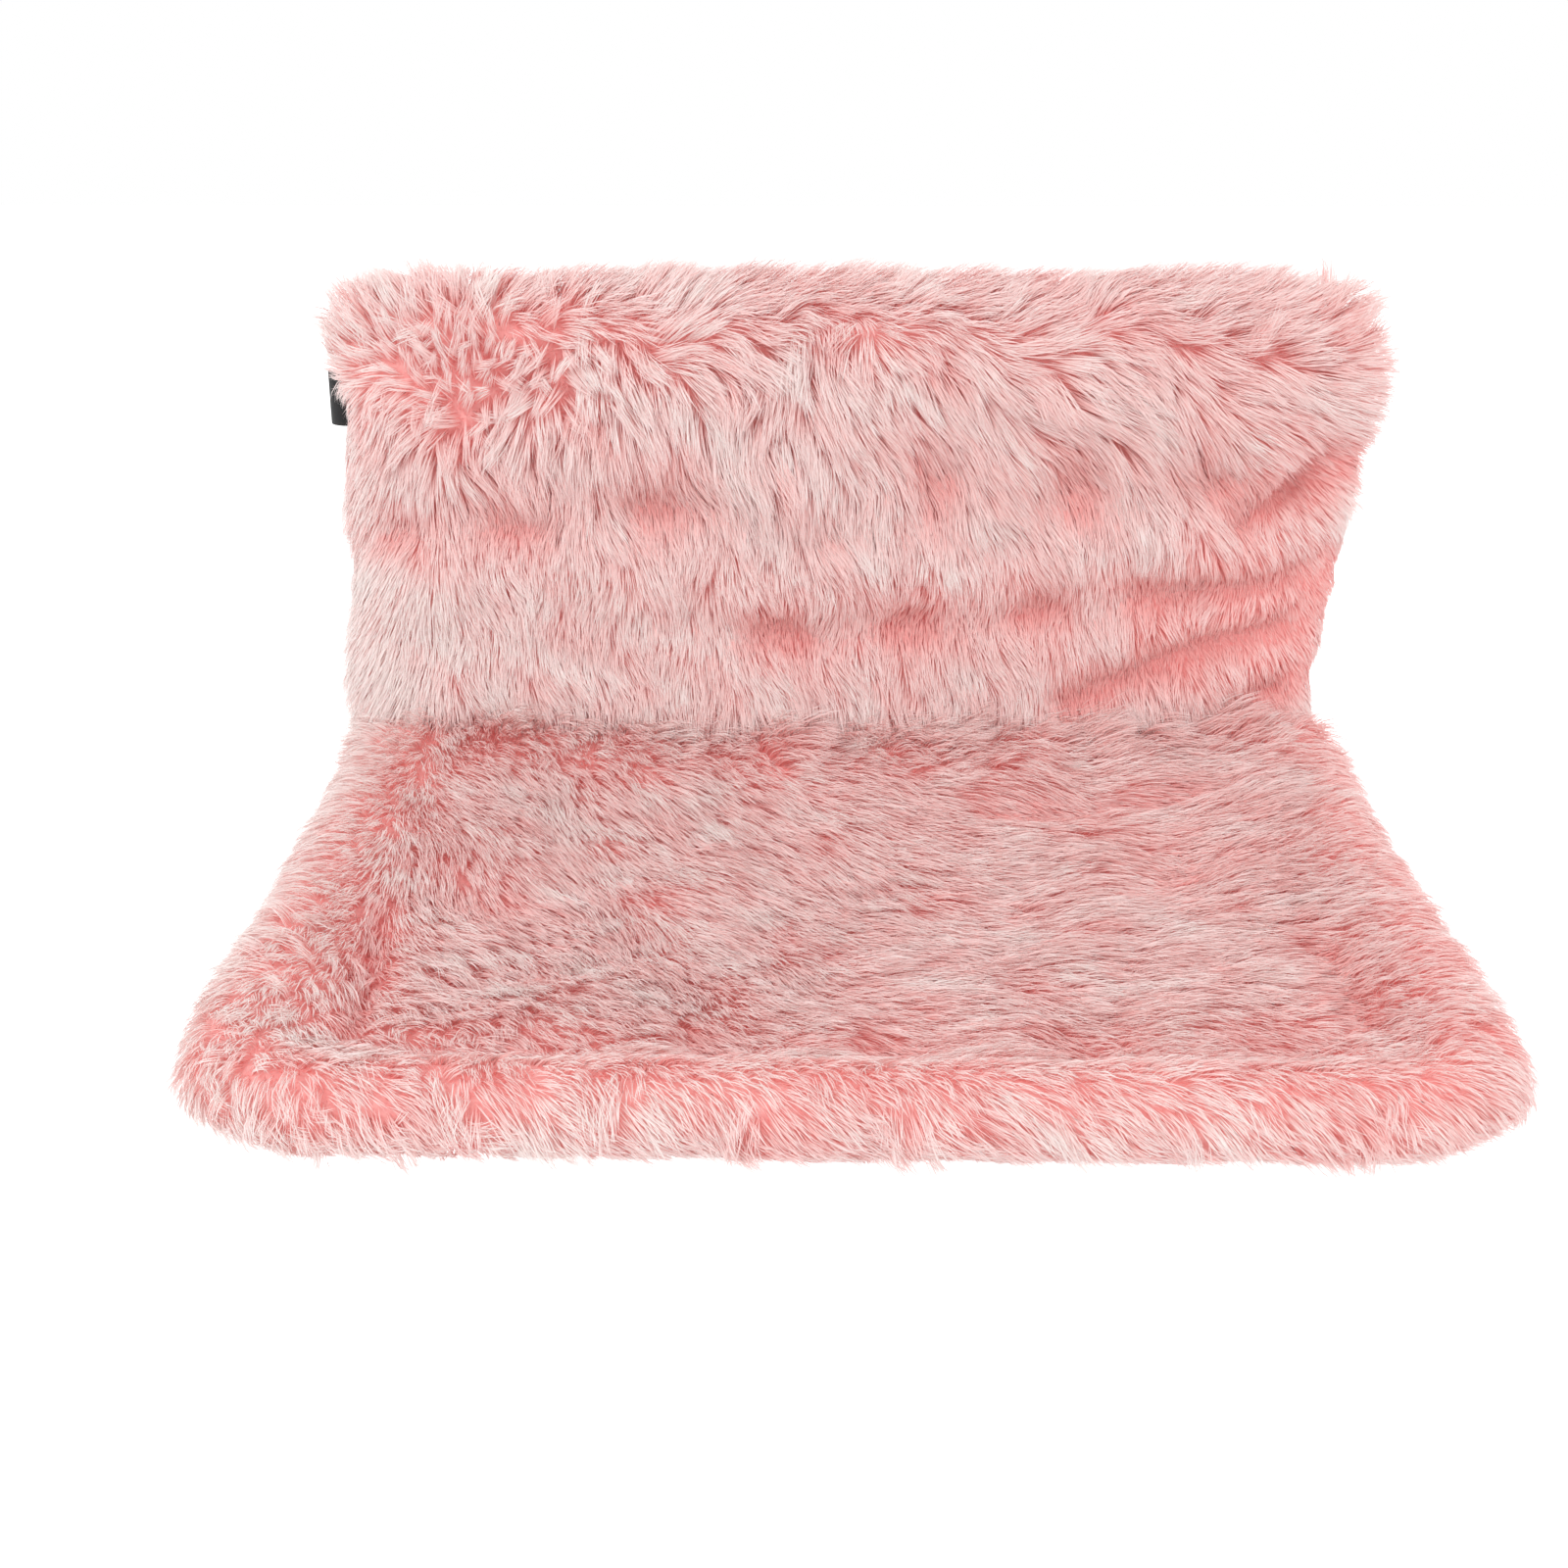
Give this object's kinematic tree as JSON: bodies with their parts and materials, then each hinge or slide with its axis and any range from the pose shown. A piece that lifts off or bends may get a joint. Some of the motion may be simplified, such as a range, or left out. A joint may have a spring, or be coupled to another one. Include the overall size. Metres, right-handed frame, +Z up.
{
  "type": "radiator pet bed",
  "caption": "Plush hammock bed on a push-fit tube frame, with a padded back and adjustable hooks that hang it over a radiator or rail.",
  "frame": {"origin": "on top of the rail, at its front edge, in the middle between the two hooks; z = 0 is the underside of the hooks' pads and y = 0 the face of the rail", "axes": "+X to the right seen from the front, +Y into the rail, +Z up"},
  "size_m": [0.4976, 0.3957, 0.2927],
  "materials": {
    "frame_steel": "satin black powder coat",
    "zinc_steel": "zinc plated",
    "pad_rubber": "matt",
    "cap_plastic": "soft PVC",
    "knob_plastic": "fine grained",
    "insert_plastic": "moulded",
    "insert_brass": "turned",
    "plush": "long pile plush",
    "wadding": "polyester wadding",
    "lining_cloth": "woven polyester",
    "label_cloth": "woven ribbon",
    "zip_cloth": "woven tape",
    "zip_nylon": "nylon coil",
    "zip_metal": "plated"
  },
  "bodies": {
    "root": {"back_tube": "frame_steel", "front_tube": "frame_steel", "left_side_tube": "frame_steel", "right_side_tube": "frame_steel", "knee_crossbar": "frame_steel", "left_hook_channel": "frame_steel", "right_hook_channel": "frame_steel", "crossbar_inserts": "insert_plastic", "crossbar_bolts": "zinc_steel", "joint_bolts": "zinc_steel", "joint_nuts": "zinc_steel", "back_plush": "plush", "seat_plush": "plush", "back_wadding": "wadding", "seat_wadding": "wadding", "back_lining": "lining_cloth", "seat_lining": "lining_cloth", "buttonhole_bindings": "lining_cloth", "side_label": "label_cloth", "zip_tapes": "zip_cloth", "zip_teeth": "zip_nylon", "zip_stops": "zip_metal"},
    "zip_slider": {"zip_slider": "zip_metal"},
    "zip_pull": {"zip_pull": "zip_metal"},
    "left_hook": {"left_hook_strap": "frame_steel", "left_hook_pad": "pad_rubber", "left_hook_stud": "zinc_steel", "left_hook_washer": "zinc_steel", "left_hook_cap": "cap_plastic"},
    "left_knob": {"left_knob": "knob_plastic", "left_knob_insert": "insert_brass"},
    "right_hook": {"right_hook_strap": "frame_steel", "right_hook_pad": "pad_rubber", "right_hook_stud": "zinc_steel", "right_hook_washer": "zinc_steel", "right_hook_cap": "cap_plastic"},
    "right_knob": {"right_knob": "knob_plastic", "right_knob_insert": "insert_brass"}
  },
  "joints": [
    {"name": "left_hook_slide", "type": "slide", "parent": "root", "child": "left_hook", "axis": [0, 1, 0], "range_m": [-0.01, 0.03]},
    {"name": "left_knob_turn", "type": "hinge", "parent": "left_hook", "child": "left_knob", "pos_m": [-0.15, 0.026, 0.0097], "axis": [0, 0, 1], "range_deg": [0, 720]},
    {"name": "right_hook_slide", "type": "slide", "parent": "root", "child": "right_hook", "axis": [0, 1, 0], "range_m": [-0.01, 0.03]},
    {"name": "right_knob_turn", "type": "hinge", "parent": "right_hook", "child": "right_knob", "pos_m": [0.15, 0.026, 0.0097], "axis": [0, 0, 1], "range_deg": [0, 720]},
    {"name": "zip_slide", "type": "slide", "parent": "root", "child": "zip_slider", "axis": [-1, 0, 0], "range_m": [0, 0.336]},
    {"name": "zip_pull_turn", "type": "hinge", "parent": "zip_slider", "child": "zip_pull", "pos_m": [0.1681, -0.0016, -0.14], "axis": [0, 0, -1], "range_deg": [0, 180]}
  ]
}
